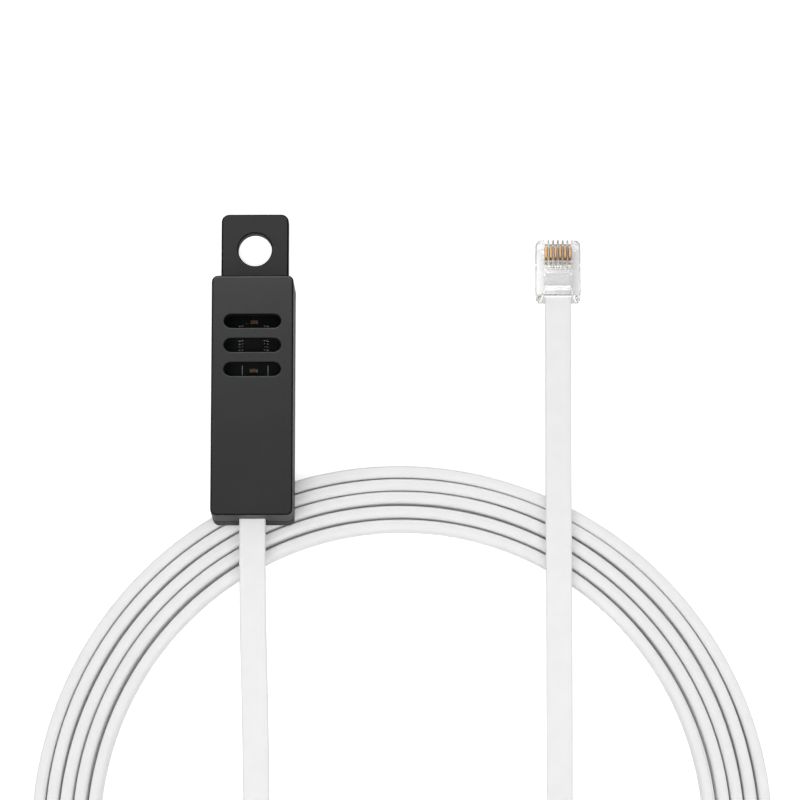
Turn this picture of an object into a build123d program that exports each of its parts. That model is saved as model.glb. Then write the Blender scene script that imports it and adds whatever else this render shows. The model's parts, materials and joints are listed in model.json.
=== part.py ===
from build123d import *
import math
import os

os.makedirs("parts", exist_ok=True)

# Rack temperature sensor. A slim vented head on a flat six-wire cord, the cord wound
# in a ring of turns that stand on edge, and a clear six-way modular plug at its end.
# Units are millimetres. The origin is under the middle of the head, on the table,
# with +Y towards the head's hanging tab, +Z up and the front of the head facing up.

# Sensor head, its body
body_width = 17.4
body_length = 51.7
body_thickness = 13.0
seam_height = 5.0
seam_bevel = 0.15
wall = 1.5
plan_corner = 1.3
front_edge_round = 0.4

# Hanging tab on the back shell
tab_width = 14.4
tab_reach = 15.5
tab_thickness = 2.8
tab_corner = 1.6
tab_edge_bevel = 0.3
tab_hole_radius = 3.6
tab_hole_bevel = 0.2
tab_hole_from_end = 7.7

# Air slots in the front
slot_count = 3
slot_length = 11.85
slot_width = 2.75
slot_pitch = 5.2
first_slot_from_top = 9.9
slot_edge_bevel = 0.2

# Tongue and rebate round the seam
tongue_thickness = 0.7
tongue_depth = 1.0
tongue_gap = 0.1

# Snap hooks on the front shell, and their pockets in the back shell
hook_from_bottom = 9.5
hook_from_top = 8.7
hook_width = 3.0
hook_thickness = 0.9
hook_root_height = 1.6
hook_tip_height = 2.2
hook_barb_height = 1.1
hook_barb_reach = 0.5
hook_gap = 0.15

# Flat cord
cord_width = 5.57
cord_thickness = 2.4
cord_gap = 0.2
cord_lift = 0.5
wire_names = ("white", "black", "red", "green", "yellow", "blue")
wire_count = len(wire_names)

# Cord in the head: the jacket's end and the ribs that grip it
jacket_in_head = 8.5
rib_thickness = 0.8
rib_width = 6.4
back_rib_rows = (2.9, 6.5)
front_rib_rows = (4.7,)

# Circuit board, with its posts, pegs and pins
board_side_gap = 0.3
board_thickness = 1.2
board_corner = 0.6
board_end_gap = 0.4
board_side_clearance = 0.2
post_radius = 1.1
post_from_board_end = 1.7
post_from_board_side = 1.2
pin_radius = 0.55
pin_gap = 0.1
peg_width = 1.8
peg_thickness = 0.9
peg_gap = 0.1

# Chips and small parts on the board
controller_width = 4.4
controller_length = 6.5
controller_height = 0.9
controller_standoff = 0.1
controller_from_top = 12.7
controller_pin_pitch = 0.65
controller_pins_per_side = 10
dimple_radius = 0.35
dimple_depth = 0.1
dimple_inset = 0.8
lead_width = 0.25
lead_thickness = 0.15
lead_reach = 1.0
lead_shoulder = 0.3
sensing_width = 1.6
sensing_length = 2.9
sensing_height = 1.1
sensing_from_top = 6.1
sensing_pin_pitch = 0.95
chip_part_length = 1.6
chip_part_width = 0.8
chip_part_height = 0.7
chip_end_length = 0.3
capacitors_from_top = ((0.15, 8.95), (0.05, 19.5))
capacitors_from_board_end = ((-3.0, 12.4),)
resistors_from_board_end = ((3.0, 12.4), (3.0, 9.9), (-3.0, 9.9))

# Wires between the jacket and the board, with bare ends that run into solder on it
wire_radius = 0.4
wire_pitch = 0.86
wire_free_length = 5.3
core_radius = 0.28
core_lift = 0.03
strip_gap = 0.2
solder_start = 0.4
solder_length = 1.5
solder_foot = 0.38
solder_crest = 0.22
solder_height = 0.75

# Modular plug. Its width, height and contact pitch are the standard ones.
plug_width = 9.65
plug_length = 12.32
plug_height = 6.6
plug_nose_round = 1.4
plug_rear_round = 0.6
plug_edge_bevel = 0.25
plug_x = 64.9
plug_y = 14.25
jacket_in_plug = 6.2
plug_bay_height = 2.7
plug_bay_gap = 0.15
mouth_width = 8.0
mouth_height = 4.2
mouth_depth = 1.5
contact_pitch = 1.02
contact_thickness = 0.35
contact_slot_width = 0.6
contact_length = 3.7
contact_from_nose = 0.6
contact_recess = 0.7
contact_shoulder = 3.35
contact_point = 2.3
contact_corner = 0.6
slot_behind_contact = 0.3
well_length = 1.1
well_width = 0.5
well_behind_slot = 0.35
plug_wire_radius = 0.46
plug_wire_end = 0.8
wire_bay_gap = 0.05
relief_from_rear = 1.9
relief_length = 3.1
relief_width = 6.0
relief_gap = 0.3
relief_nose = 1.2
groove_length = 0.5
groove_depth = 0.7
latch_drop = 2.0
latch_end = 0.6
latch_thickness = 0.9
latch_width = 3.2
latch_root = 1.6
latch_shoulder_width = 6.0
latch_shoulder_length = 4.2
latch_recess = 0.95
latch_side_gap = 0.35

# Ring of cord. Five turns on edge, which shift outward by one turn along the
# shift arc, between the place where the last turn leaves and the first one starts.
ring_x = 31.3
ring_y = -100.0
ring_outer_radius = 78.8
turn_pitch = 2.9
turn_count = 5
last_turn_leaves = 230.0
first_turn_starts = 285.0
ring_clearance = 1.0
seat_gap = 0.15
end_run = 11.0
edge_lie = 2.8

# Sizes that follow
head_length = body_length + tab_reach
cavity_width = body_width - 2 * wall
cavity_length = body_length - 2 * wall
front_inside = body_thickness - wall
cord_bottom = seam_height + cord_lift
cord_centre = cord_bottom + cord_thickness / 2
cord_top = cord_bottom + cord_thickness
board_top = cord_centre - core_radius - core_lift
hook_rows = (hook_from_bottom, body_length - hook_from_top)
board_bottom = board_top - board_thickness
board_high_end = body_length - wall - board_end_gap
board_low_end = jacket_in_head + wire_free_length
board_length = board_high_end - board_low_end
board_width = cavity_width - 2 * board_side_gap
post_spread = board_width - 2 * post_from_board_side
board_middle = (board_high_end + board_low_end) / 2
post_rows = (board_low_end + post_from_board_end, board_high_end - post_from_board_end)
ring_inner_radius = ring_outer_radius - turn_count * turn_pitch

# The head lies with its tab end on the table and its back on the ring's outer edge,
# where that edge passes under the side of the body that is nearer the ring's middle.
edge_across = ring_x - body_width / 2
edge_reach = math.sqrt(ring_outer_radius**2 - edge_across**2) + ring_y
head_tilt = math.asin((cord_width + seat_gap) / (head_length / 2 - edge_reach))
head_rise = head_length * math.sin(head_tilt)
head_start = -(head_length * math.cos(head_tilt) + tab_thickness * math.sin(head_tilt)) / 2
head = Plane(
    origin=(0, head_start, head_rise),
    x_dir=(1, 0, 0),
    z_dir=(0, math.sin(head_tilt), math.cos(head_tilt)),
)

# The plug lies on its latch, contacts up and nose down.
plug_tilt = math.atan(latch_drop / (plug_length - latch_end))
plug = Plane(
    origin=(plug_x, plug_y, plug_length * math.sin(plug_tilt)),
    x_dir=(1, 0, 0),
    z_dir=(0, math.sin(plug_tilt), math.cos(plug_tilt)),
)


def side_plane(frame, across=0.0):
    """A plane through a frame whose sketches are drawn as (along, up)."""
    origin = frame.from_local_coords((across, 0, 0))
    return Plane(origin=origin, x_dir=frame.y_dir, z_dir=frame.x_dir)


def end_plane(frame, along):
    """A plane across a frame whose sketches are drawn as (across, up)."""
    origin = frame.from_local_coords((0, along, 0))
    return Plane(origin=origin, x_dir=frame.x_dir, z_dir=-frame.y_dir)


def upward(frame):
    """The axis along which a frame's faces are sorted from back to front."""
    return Axis(frame.origin, frame.z_dir)


def rows_across(count, pitch):
    """Evenly spaced places, centred on the middle."""
    return [(k - (count - 1) / 2) * pitch for k in range(count)]


def on_ring(radius, degrees):
    """A point of the ring's plan, from its middle."""
    turn = math.radians(degrees)
    return (radius * math.cos(turn), radius * math.sin(turn))


def bend_radii(points):
    """Each bend as large as its two runs allow."""
    found = []
    for before, corner, after in zip(points, points[1:], points[2:]):
        run_in = Vector(corner) - Vector(before)
        run_out = Vector(after) - Vector(corner)
        half_turn = math.radians(run_in.get_angle(run_out)) / 2
        found.append(0.45 * min(run_in.length, run_out.length) / math.tan(half_turn))
    return found


# Front shell
with BuildPart() as front_shell:
    with BuildSketch(head.offset(seam_height)):
        with Locations((0, body_length / 2)):
            RectangleRounded(body_width, body_length, plan_corner)
    extrude(amount=body_thickness - seam_height)
    front_face = faces().sort_by(upward(head))[-1]
    fillet(front_face.edges(), front_edge_round)
    seam_face = faces().sort_by(upward(head))[0]
    chamfer(seam_face.edges(), seam_bevel)
    with BuildSketch(head.offset(seam_height)):
        with Locations((0, body_length / 2)):
            Rectangle(cavity_width, cavity_length)
    extrude(amount=front_inside - seam_height, mode=Mode.SUBTRACT)
    # Tongue that seats in the back shell's rebate
    with BuildSketch(head.offset(seam_height)):
        with Locations((0, body_length / 2)):
            Rectangle(cavity_width + 2 * tongue_thickness, cavity_length + 2 * tongue_thickness)
            Rectangle(cavity_width, cavity_length, mode=Mode.SUBTRACT)
    extrude(amount=-tongue_depth)
    # Air slots
    with BuildSketch(head.offset(body_thickness)):
        for k in range(slot_count):
            with Locations((0, body_length - first_slot_from_top - k * slot_pitch)):
                SlotOverall(slot_length, slot_width)
    extrude(amount=-wall, mode=Mode.SUBTRACT)
    front_face = faces().sort_by(upward(head))[-1]
    slot_edges = [edge for hole in front_face.inner_wires() for edge in hole.edges()]
    chamfer(slot_edges, slot_edge_bevel)
    # Snap hooks
    for along in hook_rows:
        for side in (-1, 1):
            face_x = cavity_width / 2
            inner_x = face_x - hook_thickness
            tip_x = face_x + hook_barb_reach
            barb_top = hook_tip_height + hook_barb_height
            with BuildSketch(end_plane(head, along)):
                with BuildLine():
                    Polyline(
                        (side * face_x, seam_height + hook_root_height + hook_thickness),
                        (side * inner_x, seam_height + hook_root_height),
                        (side * inner_x, hook_tip_height),
                        (side * (face_x - hook_gap), hook_tip_height),
                        (side * tip_x, barb_top - hook_barb_reach),
                        (side * tip_x, barb_top),
                        (side * (face_x - hook_gap), barb_top),
                        (side * (face_x - hook_gap), seam_height - tongue_depth),
                        (side * face_x, seam_height - tongue_depth),
                        close=True,
                    )
                make_face()
            extrude(amount=hook_width / 2, both=True)
    # Ribs that press on the cord, and pegs that hold the board down
    for along in front_rib_rows:
        with BuildSketch(end_plane(head, along)):
            with Locations((0, (cord_top + front_inside) / 2)):
                Rectangle(rib_width, front_inside - cord_top)
        extrude(amount=rib_thickness / 2, both=True)
    with BuildSketch(head.offset(board_top + peg_gap)):
        for along in post_rows:
            for side in (-1, 1):
                with Locations((side * post_spread / 2, along)):
                    Rectangle(peg_width, peg_thickness)
    extrude(amount=front_inside - board_top - peg_gap)
    # Notch in the lower end wall, where the cord leaves
    with BuildSketch(end_plane(head, 0)):
        with Locations((0, cord_top + cord_gap - body_thickness / 2)):
            RectangleRounded(cord_width + 2 * cord_gap, body_thickness, cord_thickness / 4)
    extrude(amount=-(wall + cord_gap), mode=Mode.SUBTRACT)
front_shell.part.label = "front_shell"
export_step(front_shell.part, "parts/front_shell.step")

# Back shell, moulded in one with its hanging tab
with BuildPart() as back_shell:
    with BuildSketch(head):
        with Locations((0, body_length + tab_reach / 2 - wall / 2)):
            Rectangle(tab_width, tab_reach + wall)
        fillet(vertices().group_by(Axis.Y)[-1], tab_corner)
    extrude(amount=tab_thickness)
    tab_face = faces().sort_by(upward(head))[-1]
    chamfer(tab_face.edges(), tab_edge_bevel)
    with BuildSketch(head):
        with Locations((0, body_length / 2)):
            RectangleRounded(body_width, body_length, plan_corner)
    extrude(amount=seam_height)
    seam_face = faces().sort_by(upward(head))[-1]
    chamfer(seam_face.edges(), seam_bevel)
    with BuildSketch(head.offset(wall)):
        with Locations((0, body_length / 2)):
            Rectangle(cavity_width, cavity_length)
    extrude(amount=seam_height - wall, mode=Mode.SUBTRACT)
    # Rebate for the tongue
    rebate = tongue_thickness + tongue_gap
    with BuildSketch(head.offset(seam_height)):
        with Locations((0, body_length / 2)):
            Rectangle(cavity_width + 2 * rebate, cavity_length + 2 * rebate)
    extrude(amount=-(tongue_depth + tongue_gap), mode=Mode.SUBTRACT)
    # Pockets for the snap hooks
    pocket_depth = hook_barb_reach + hook_gap
    pocket_height = hook_barb_height + 2 * hook_gap
    for along in hook_rows:
        with BuildSketch(end_plane(head, along)):
            with Locations((0, hook_tip_height - hook_gap + pocket_height / 2)):
                Rectangle(cavity_width + 2 * pocket_depth, pocket_height)
        extrude(amount=hook_width / 2 + hook_gap, both=True, mode=Mode.SUBTRACT)
    # Ribs under the cord
    for along in back_rib_rows:
        with BuildSketch(end_plane(head, along)):
            with Locations((0, (wall + cord_bottom) / 2)):
                Rectangle(rib_width, cord_bottom - wall)
        extrude(amount=rib_thickness / 2, both=True)
    # Posts under the board, with a locating pin on one of each pair
    with BuildSketch(head.offset(wall)):
        for along in post_rows:
            for side in (-1, 1):
                with Locations((side * post_spread / 2, along)):
                    Circle(post_radius)
    extrude(amount=board_bottom - wall)
    with BuildSketch(head.offset(board_bottom)):
        for side, along in zip((-1, 1), post_rows):
            with Locations((side * post_spread / 2, along)):
                Circle(pin_radius)
    extrude(amount=board_thickness)
    # Hole in the tab
    with BuildSketch(head):
        with Locations((0, head_length - tab_hole_from_end)):
            Circle(tab_hole_radius)
    extrude(amount=tab_thickness, mode=Mode.SUBTRACT)
    tab_top = head.from_local_coords((0, head_length, tab_thickness))
    tab_face = faces().filter_by(Axis(head.origin, head.z_dir)).sort_by_distance(tab_top)[0]
    hole_edges = [edge for hole in tab_face.inner_wires() for edge in hole.edges()]
    chamfer(hole_edges, tab_hole_bevel)
back_shell.part.label = "back_shell"
export_step(back_shell.part, "parts/back_shell.step")

# Circuit board, with side notches for the hooks and holes for the pins
with BuildPart() as circuit_board:
    with BuildSketch(head.offset(board_bottom)):
        with Locations((0, board_middle)):
            RectangleRounded(board_width, board_length, board_corner)
        notch_depth = board_width / 2 - (cavity_width / 2 - hook_thickness) + board_side_clearance
        for along in hook_rows:
            if along > board_low_end:
                for side in (-1, 1):
                    with Locations((side * board_width / 2, along)):
                        Rectangle(
                            2 * notch_depth,
                            hook_width + 2 * board_side_clearance,
                            mode=Mode.SUBTRACT,
                        )
        for side, along in zip((-1, 1), post_rows):
            with Locations((side * post_spread / 2, along)):
                Circle(pin_radius + pin_gap, mode=Mode.SUBTRACT)
    extrude(amount=board_thickness)
circuit_board.part.label = "circuit_board"
export_step(circuit_board.part, "parts/circuit_board.step")

# Controller chip, with a dimple at its first pin
chip_base = board_top + controller_standoff
controller_middle = body_length - controller_from_top
with BuildPart() as controller_chip:
    with BuildSketch(head.offset(chip_base)):
        with Locations((0, controller_middle)):
            Rectangle(controller_width, controller_length)
    extrude(amount=controller_height)
    dimple_x = dimple_inset - controller_width / 2
    dimple_y = controller_middle + controller_length / 2 - dimple_inset
    with BuildSketch(head.offset(chip_base + controller_height)):
        with Locations((dimple_x, dimple_y)):
            Circle(dimple_radius)
    extrude(amount=-dimple_depth, mode=Mode.SUBTRACT)
controller_chip.part.label = "controller_chip"
export_step(controller_chip.part, "parts/controller_chip.step")

# Sensing chip
sensing_middle = body_length - sensing_from_top
with BuildPart() as sensing_chip:
    with BuildSketch(head.offset(chip_base)):
        with Locations((0, sensing_middle)):
            Rectangle(sensing_length, sensing_width)
    extrude(amount=sensing_height)
sensing_chip.part.label = "sensing_chip"
export_step(sensing_chip.part, "parts/sensing_chip.step")


def gull_wing(start, side):
    """The bent outline of one chip lead, drawn as (out, up) from the chip's side."""
    low = board_top
    high = low + controller_standoff + controller_height / 2
    knee = start + lead_shoulder
    foot = knee + lead_shoulder
    tip = start + lead_reach
    outline = [
        (start, high),
        (knee, high),
        (foot, low + lead_thickness),
        (tip, low + lead_thickness),
        (tip, low),
        (foot - lead_thickness, low),
        (knee - lead_thickness, high - lead_thickness),
        (start, high - lead_thickness),
    ]
    return [(side * out, up) for out, up in outline]


# Leads of the controller chip
with BuildPart() as controller_pins:
    for shift in rows_across(controller_pins_per_side, controller_pin_pitch):
        for side in (-1, 1):
            with BuildSketch(end_plane(head, controller_middle + shift)):
                with BuildLine():
                    Polyline(*gull_wing(controller_width / 2, side), close=True)
                make_face()
            extrude(amount=lead_width / 2, both=True)
controller_pins.part.label = "controller_pins"
export_step(controller_pins.part, "parts/controller_pins.step")

# Leads of the sensing chip, three on one side and two on the other
with BuildPart() as sensing_pins:
    for side, shifts in ((-1, (-1, 0, 1)), (1, (-1, 1))):
        for shift in shifts:
            with BuildSketch(side_plane(head, shift * sensing_pin_pitch)):
                with BuildLine():
                    outline = gull_wing(sensing_width / 2, side)
                    Polyline(*[(sensing_middle + out, up) for out, up in outline], close=True)
                make_face()
            extrude(amount=lead_width / 2, both=True)
sensing_pins.part.label = "sensing_pins"
export_step(sensing_pins.part, "parts/sensing_pins.step")


def chip_parts(places, length, spread):
    """Small blocks on the board, one or a spread pair of them at each place."""
    for across, along in places:
        for shift in spread:
            with Locations((across + shift, along)):
                Rectangle(length, chip_part_width)


# Chip capacitors and resistors, and the metal ends of both
capacitor_places = [(across, body_length - down) for across, down in capacitors_from_top]
capacitor_places += [(across, board_low_end + up) for across, up in capacitors_from_board_end]
resistor_places = [(across, board_low_end + up) for across, up in resistors_from_board_end]
chip_middle_length = chip_part_length - 2 * chip_end_length
end_shift = (chip_part_length - chip_end_length) / 2
for name, places in (("capacitors", capacitor_places), ("resistors", resistor_places)):
    with BuildPart() as chip_bodies:
        with BuildSketch(head.offset(board_top)):
            chip_parts(places, chip_middle_length, (0,))
        extrude(amount=chip_part_height)
    chip_bodies.part.label = name
    export_step(chip_bodies.part, "parts/" + name + ".step")
with BuildPart() as chip_ends:
    with BuildSketch(head.offset(board_top)):
        chip_parts(capacitor_places + resistor_places, chip_end_length, (-end_shift, end_shift))
    extrude(amount=chip_part_height)
chip_ends.part.label = "chip_part_ends"
export_step(chip_ends.part, "parts/chip_part_ends.step")

# Six wires from the jacket's end to the board, each with its bare core over its edge
strip_start = board_low_end - strip_gap
for name, across in zip(wire_names, rows_across(wire_count, wire_pitch)):
    with BuildPart() as head_wire:
        with BuildSketch(end_plane(head, jacket_in_head)):
            with Locations((across, cord_centre)):
                Circle(wire_radius)
        extrude(amount=jacket_in_head - strip_start)
        with BuildSketch(end_plane(head, strip_start)):
            with Locations((across, cord_centre)):
                Circle(core_radius)
        extrude(amount=strip_start - board_low_end - solder_start)
    head_wire.part.label = "head_wire_" + name
    export_step(head_wire.part, "parts/head_wire_" + name + ".step")

# Solder that holds the ends of the bare cores
with BuildPart() as solder_joints:
    with BuildSketch(end_plane(head, board_low_end + solder_start)):
        for across in rows_across(wire_count, wire_pitch):
            with BuildLine():
                Polyline(
                    (across - solder_foot, board_top),
                    (across + solder_foot, board_top),
                    (across + solder_crest, board_top + solder_height),
                    (across - solder_crest, board_top + solder_height),
                    close=True,
                )
            make_face()
    extrude(amount=-solder_length)
solder_joints.part.label = "solder_joints"
export_step(solder_joints.part, "parts/solder_joints.step")

# Clear plug body with its latch, its comb of slots and its strain relief
nose = plug_length
slot_start = nose - contact_from_nose - contact_length - slot_behind_contact
bay_width = wire_count * contact_pitch + 2 * wire_bay_gap
bay_half_height = plug_wire_radius + wire_bay_gap
jacket_bay_width = cord_width + 2 * plug_bay_gap
jacket_bay_height = cord_thickness + 2 * plug_bay_gap
jacket_top = plug_bay_height + cord_thickness / 2
relief_end = relief_from_rear + relief_length
latch_slope = latch_drop / (plug_length - latch_end)


def latch_line(along):
    """Height of the latch's underside at a place along the plug."""
    return -latch_slope * (nose - along)


with BuildPart() as plug_body:
    with BuildSketch(plug):
        with Locations((0, plug_length / 2)):
            Rectangle(plug_width, plug_length)
        fillet(vertices().group_by(Axis.Y)[-1], plug_nose_round)
        fillet(vertices().group_by(Axis.Y)[0], plug_rear_round)
    extrude(amount=plug_height)
    chamfer(faces().sort_by(upward(plug))[-1].edges(), plug_edge_bevel)
    # Jacket bay with its flared mouth, and the wire bay in front of it
    with BuildSketch(end_plane(plug, 0)):
        with Locations((0, plug_bay_height)):
            Rectangle(jacket_bay_width, jacket_bay_height)
    extrude(amount=-jacket_in_plug, mode=Mode.SUBTRACT)
    with BuildSketch(end_plane(plug, 0)):
        with Locations((0, plug_bay_height)):
            Rectangle(mouth_width, mouth_height)
    with BuildSketch(end_plane(plug, mouth_depth)):
        with Locations((0, plug_bay_height)):
            Rectangle(jacket_bay_width, jacket_bay_height)
    loft(mode=Mode.SUBTRACT)
    with BuildSketch(end_plane(plug, jacket_in_plug)):
        with Locations((0, plug_bay_height)):
            Rectangle(bay_width, 2 * bay_half_height)
    extrude(amount=-(nose - plug_wire_end - jacket_in_plug), mode=Mode.SUBTRACT)
    # Contact slots, open at the nose, and a well behind each of them
    with BuildSketch(plug.offset(plug_height)):
        for across in rows_across(wire_count, contact_pitch):
            with Locations((across, (slot_start + nose) / 2)):
                Rectangle(contact_slot_width, nose - slot_start)
            with Locations((across, slot_start - well_behind_slot - well_length / 2)):
                Rectangle(well_width, well_length)
    extrude(amount=-(plug_height - plug_bay_height - bay_half_height), mode=Mode.SUBTRACT)
    # Groove and strain relief pocket
    with BuildSketch(plug.offset(plug_height)):
        with Locations((0, jacket_in_plug)):
            Rectangle(bay_width - contact_pitch, groove_length)
    extrude(amount=-groove_depth, mode=Mode.SUBTRACT)
    with BuildSketch(plug.offset(plug_height)):
        with Locations((0, relief_from_rear + relief_length / 2)):
            Rectangle(relief_width, relief_length)
    extrude(amount=-(plug_height - plug_bay_height), mode=Mode.SUBTRACT)
    with BuildSketch(side_plane(plug)):
        with BuildLine():
            Polyline(
                (relief_end, plug_height - relief_gap),
                (relief_end, jacket_top + relief_nose),
                (relief_end - relief_length / 3, jacket_top),
                (relief_from_rear + relief_nose, jacket_top),
                (relief_from_rear + relief_gap, jacket_top + relief_nose),
                close=True,
            )
        make_face()
    extrude(amount=relief_width / 2 - relief_gap, both=True)
    # Recess under the latch, then the latch itself
    with BuildSketch(plug):
        with Locations((0, (nose - latch_root) / 2)):
            Rectangle(latch_width + 2 * latch_side_gap, nose - latch_root)
        with Locations((0, nose - latch_root - latch_shoulder_length / 2)):
            Rectangle(latch_shoulder_width + 2 * latch_side_gap, latch_shoulder_length)
    extrude(amount=latch_recess, mode=Mode.SUBTRACT)
    with BuildSketch(side_plane(plug)):
        with BuildLine():
            Polyline(
                (nose, 0),
                (latch_end, -latch_drop),
                (latch_end, latch_thickness - latch_drop),
                (nose - latch_root, latch_line(nose - latch_root) + latch_thickness),
                (nose - latch_root, latch_recess),
                (nose, latch_recess),
                close=True,
            )
        make_face()
    extrude(amount=latch_width / 2, both=True)
    shoulder_end = nose - latch_shoulder_length
    with BuildSketch(side_plane(plug)):
        with BuildLine():
            Polyline(
                (nose - plug_nose_round, 0),
                (nose - plug_nose_round, latch_line(nose - plug_nose_round)),
                (shoulder_end, latch_line(shoulder_end)),
                (shoulder_end, latch_line(shoulder_end) + latch_thickness),
                (nose - latch_root, latch_line(nose - latch_root) + latch_thickness),
                (nose - latch_root, 0),
                close=True,
            )
        make_face()
    extrude(amount=latch_shoulder_width / 2, both=True)
plug_body.part.label = "plug_body"
export_step(plug_body.part, "parts/plug_body.step")

# Contact blades, each with two points that pierce its wire, and the wires
contact_front = nose - contact_from_nose
contact_back = contact_front - contact_length
contact_top = plug_height - contact_recess
for number, (name, across) in enumerate(
    zip(wire_names, rows_across(wire_count, contact_pitch)), start=1
):
    point_pitch = contact_length / 5
    with BuildPart() as contact:
        with BuildSketch(side_plane(plug, across)):
            with BuildLine():
                Polyline(
                    (contact_back, contact_top),
                    (contact_front - contact_corner, contact_top),
                    (contact_front, contact_top - contact_corner),
                    (contact_front, contact_shoulder),
                    (contact_front - point_pitch, contact_point),
                    (contact_front - 2 * point_pitch, contact_shoulder),
                    (contact_back + 2 * point_pitch, contact_shoulder),
                    (contact_back + point_pitch, contact_point),
                    (contact_back, contact_shoulder),
                    close=True,
                )
            make_face()
        extrude(amount=contact_thickness / 2, both=True)
    contact.part.label = "plug_contact_" + str(number)
    export_step(contact.part, "parts/plug_contact_" + str(number) + ".step")
    with BuildPart() as plug_wire:
        with BuildSketch(end_plane(plug, jacket_in_plug)):
            with Locations((across, plug_bay_height)):
                Circle(plug_wire_radius)
        extrude(amount=-(nose - plug_wire_end - jacket_in_plug))
        add(contact.part, mode=Mode.SUBTRACT)
    plug_wire.part.label = "plug_wire_" + name
    export_step(plug_wire.part, "parts/plug_wire_" + name + ".step")

# Ring of cord: its outer shape in plan, one cord's width high
leaves_edge = ring_outer_radius - turn_pitch - ring_clearance
starts_edge = ring_inner_radius + turn_pitch + ring_clearance
shift_middle = (last_turn_leaves + first_turn_starts) / 2
with BuildPart() as cord_coil:
    with BuildSketch(Plane(origin=(ring_x, ring_y, 0))):
        Circle(ring_outer_radius)
        Circle(ring_inner_radius, mode=Mode.SUBTRACT)
        with BuildLine():
            Polyline(
                (0, 0),
                on_ring(2 * ring_outer_radius, last_turn_leaves),
                on_ring(2 * ring_outer_radius, first_turn_starts),
                close=True,
            )
        make_face(mode=Mode.SUBTRACT)
        with BuildLine():
            inner = ThreePointArc(
                on_ring(ring_inner_radius, last_turn_leaves),
                on_ring((ring_inner_radius + starts_edge) / 2, shift_middle),
                on_ring(starts_edge, first_turn_starts),
            )
            outer = ThreePointArc(
                on_ring(leaves_edge, last_turn_leaves),
                on_ring((leaves_edge + ring_outer_radius) / 2, shift_middle),
                on_ring(ring_outer_radius, first_turn_starts),
            )
            Line(inner @ 0, outer @ 0)
            Line(inner @ 1, outer @ 1)
        make_face()
    extrude(amount=cord_width)
cord_coil.part.label = "cord_coil"
export_step(cord_coil.part, "parts/cord_coil.step")


def ribbon(points, radii, flat):
    """A stretch of cord that keeps flat, or stands on edge, along its bends."""
    level = max(z for x, y, z in points) - min(z for x, y, z in points) < 0.001
    with BuildPart() as stretch:
        with BuildLine():
            path = FilletPolyline(*points, radius=radii)
        with BuildLine(mode=Mode.PRIVATE):
            guide = FilletPolyline(*[(x, y, z + 2 * cord_width) for x, y, z in points], radius=radii)
        across = (1, 0, 0) if flat else (0, 0, 1)
        with BuildSketch(Plane(origin=path @ 0, x_dir=across, z_dir=path % 0)):
            Rectangle(cord_width, cord_thickness)
        if flat or level:
            sweep(path=path)
        else:
            sweep(path=path, binormal=guide)
    return stretch.part, path.length


def twisted(start, end, flat_first):
    """A straight stretch of cord that turns a quarter about its own line."""
    steps = 6
    run = Vector(end) - Vector(start)
    with BuildPart() as stretch:
        for k in range(steps + 1):
            share = k / steps
            quarter = share if flat_first else 1 - share
            lean = math.radians(90 * quarter)
            across = (math.cos(lean), 0, math.sin(lean))
            middle = Vector(start) + run * share
            with BuildSketch(Plane(origin=middle, x_dir=across, z_dir=run)):
                Rectangle(cord_width, cord_thickness)
        loft()
    return stretch.part, run.length


def beside_ring(radius, degrees, along):
    """A point of the cord on a turn's tangent, a length along it from the turn."""
    x, y = on_ring(radius, degrees)
    turn = math.radians(degrees)
    x += ring_x - along * math.sin(turn)
    y += ring_y + along * math.cos(turn)
    return (x, y, edge_lie)


def between(first, second, share):
    """A point part of the way along a run."""
    return tuple(Vector(first) + (Vector(second) - Vector(first)) * share)


cord_section = cord_width * cord_thickness


def cord_tube(name, route, twist_run, twist_from, twist_to, flat_first):
    """A cord's tube along its route, with a quarter twist on one of its runs."""
    radii = bend_radii(route)
    before = between(route[twist_run], route[twist_run + 1], twist_from)
    after = between(route[twist_run], route[twist_run + 1], twist_to)
    first, first_length = ribbon(route[: twist_run + 1] + [before], radii[:twist_run], flat_first)
    twist, twist_length = twisted(before, after, flat_first)
    last, last_length = ribbon([after] + route[twist_run + 1 :], radii[twist_run:], not flat_first)
    with BuildPart() as tube:
        add(first)
        add(twist)
        add(last)
    length = first_length + twist_length + last_length
    print(name, "bend radii", [round(radius, 1) for radius in radii])
    print(name, "length", round(length, 1), "volume", round(tube.part.volume, 1))
    print(name, "section times length", round(cord_section * length, 1))
    tube.part.label = name
    export_step(tube.part, "parts/" + name + ".step")
    return length


# Cord from the head to the ring. It leaves the notch flat, sinks inside the ring,
# stands up on edge and joins the innermost turn.
first_turn_radius = ring_inner_radius + turn_pitch / 2
head_route = [
    tuple(head.from_local_coords((0, jacket_in_head, cord_centre))),
    tuple(head.from_local_coords((0, -16.2, cord_centre))),
    (0.0, -75.0, 8.0),
    (0.0, -103.0, 2.8),
    (0.0, -140.5, 2.8),
    (9.5, -157.5, 2.8),
    (22.2, -163.2, 2.8),
    beside_ring(first_turn_radius, first_turn_starts, -end_run),
    beside_ring(first_turn_radius, first_turn_starts, 0),
]
head_cord_length = cord_tube("head_cord", head_route, 3, 0.36, 0.76, True)

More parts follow.
